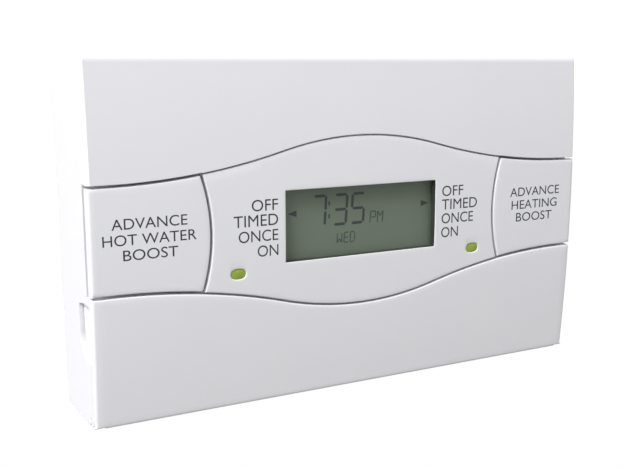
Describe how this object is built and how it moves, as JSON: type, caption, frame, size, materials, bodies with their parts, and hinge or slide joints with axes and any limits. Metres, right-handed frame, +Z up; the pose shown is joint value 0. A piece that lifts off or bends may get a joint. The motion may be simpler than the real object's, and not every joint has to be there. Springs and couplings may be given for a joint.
{
  "type": "central heating programmer",
  "caption": "Wall-hung two-channel heating and hot-water programmer: display panel, big advance buttons, hinged lower flap over its keys, and a plug-on wall plate.",
  "frame": {"origin": "centre of the wall plate's two fixing slots, on the wall plane", "axes": "+X to the right across the case, +Z up, front faces -Y, wall is the plane y = 0"},
  "size_m": [0.14, 0.0272, 0.086],
  "materials": {
    "white_abs": "fine satin moulded ABS",
    "clear_acrylic": "clear moulded acrylic",
    "lcd_glass": "polarised display glass",
    "black_plastic": "matt moulded nylon",
    "green_lens": "tinted clear acrylic",
    "grey_abs": "matt moulded ABS",
    "board_laminate": "solder-masked glass-epoxy laminate",
    "zinc_steel": "bright zinc plate",
    "relay_case": "matt moulded thermoplastic",
    "film_box": "matt potted box",
    "cell_sleeve": "heat-shrink sleeve",
    "brass": "stamped brass"
  },
  "bodies": {
    "case": {"front_housing": "white_abs", "display_fascia": "white_abs", "display_window": "clear_acrylic", "lcd_panel": "lcd_glass", "lcd_frame": "black_plastic", "left_light_guide": "green_lens", "right_light_guide": "green_lens", "circuit_board": "board_laminate", "board_screws": "zinc_steel", "key_switches": "black_plastic", "button_switches": "black_plastic", "status_leds": "green_lens", "microcontroller": "black_plastic", "crystal": "zinc_steel", "water_relay": "relay_case", "heating_relay": "relay_case", "power_transformer": "black_plastic", "mains_capacitor": "film_box", "smoothing_capacitor": "black_plastic", "fuse": "grey_abs", "backup_cell": "cell_sleeve", "mode_switch": "black_plastic", "contact_blades": "brass", "rear_housing": "grey_abs", "case_screws": "zinc_steel", "wall_plate": "grey_abs", "terminal_block": "white_abs", "terminal_clamps": "brass", "terminal_screws": "zinc_steel", "earth_terminal": "brass", "earth_screw": "zinc_steel", "retaining_screws": "zinc_steel"},
    "left_button": {"left_button": "white_abs"},
    "right_button": {"right_button": "white_abs"},
    "flap": {"flap": "white_abs"},
    "mode_slider": {"mode_slider": "grey_abs"},
    "select_key_left": {"select_key_left": "grey_abs"},
    "set_key": {"set_key": "grey_abs"},
    "day_key": {"day_key": "grey_abs"},
    "minus_key": {"minus_key": "grey_abs"},
    "plus_key": {"plus_key": "grey_abs"},
    "copy_key": {"copy_key": "grey_abs"},
    "select_key_right": {"select_key_right": "grey_abs"}
  },
  "joints": [
    {"name": "left_button_press", "type": "slide", "parent": "case", "child": "left_button", "axis": [0, 1, 0], "range_m": [0, 0.0012], "stiffness_N_per_m": 900},
    {"name": "right_button_press", "type": "slide", "parent": "case", "child": "right_button", "axis": [0, 1, 0], "range_m": [0, 0.0012], "stiffness_N_per_m": 900},
    {"name": "select_key_left_press", "type": "slide", "parent": "case", "child": "select_key_left", "axis": [0, 1, 0], "range_m": [0, 0.0005], "stiffness_N_per_m": 900},
    {"name": "set_key_press", "type": "slide", "parent": "case", "child": "set_key", "axis": [0, 1, 0], "range_m": [0, 0.0005], "stiffness_N_per_m": 900},
    {"name": "day_key_press", "type": "slide", "parent": "case", "child": "day_key", "axis": [0, 1, 0], "range_m": [0, 0.0005], "stiffness_N_per_m": 900},
    {"name": "minus_key_press", "type": "slide", "parent": "case", "child": "minus_key", "axis": [0, 1, 0], "range_m": [0, 0.0005], "stiffness_N_per_m": 900},
    {"name": "plus_key_press", "type": "slide", "parent": "case", "child": "plus_key", "axis": [0, 1, 0], "range_m": [0, 0.0005], "stiffness_N_per_m": 900},
    {"name": "copy_key_press", "type": "slide", "parent": "case", "child": "copy_key", "axis": [0, 1, 0], "range_m": [0, 0.0005], "stiffness_N_per_m": 900},
    {"name": "select_key_right_press", "type": "slide", "parent": "case", "child": "select_key_right", "axis": [0, 1, 0], "range_m": [0, 0.0005], "stiffness_N_per_m": 900},
    {"name": "flap_hinge", "type": "hinge", "parent": "case", "child": "flap", "pos_m": [0, -0.0228, -0.0413], "axis": [1, 0, 0], "range_deg": [0, 100]},
    {"name": "mode_slide", "type": "slide", "parent": "case", "child": "mode_slider", "axis": [1, 0, 0], "range_m": [0, 0.004]}
  ]
}
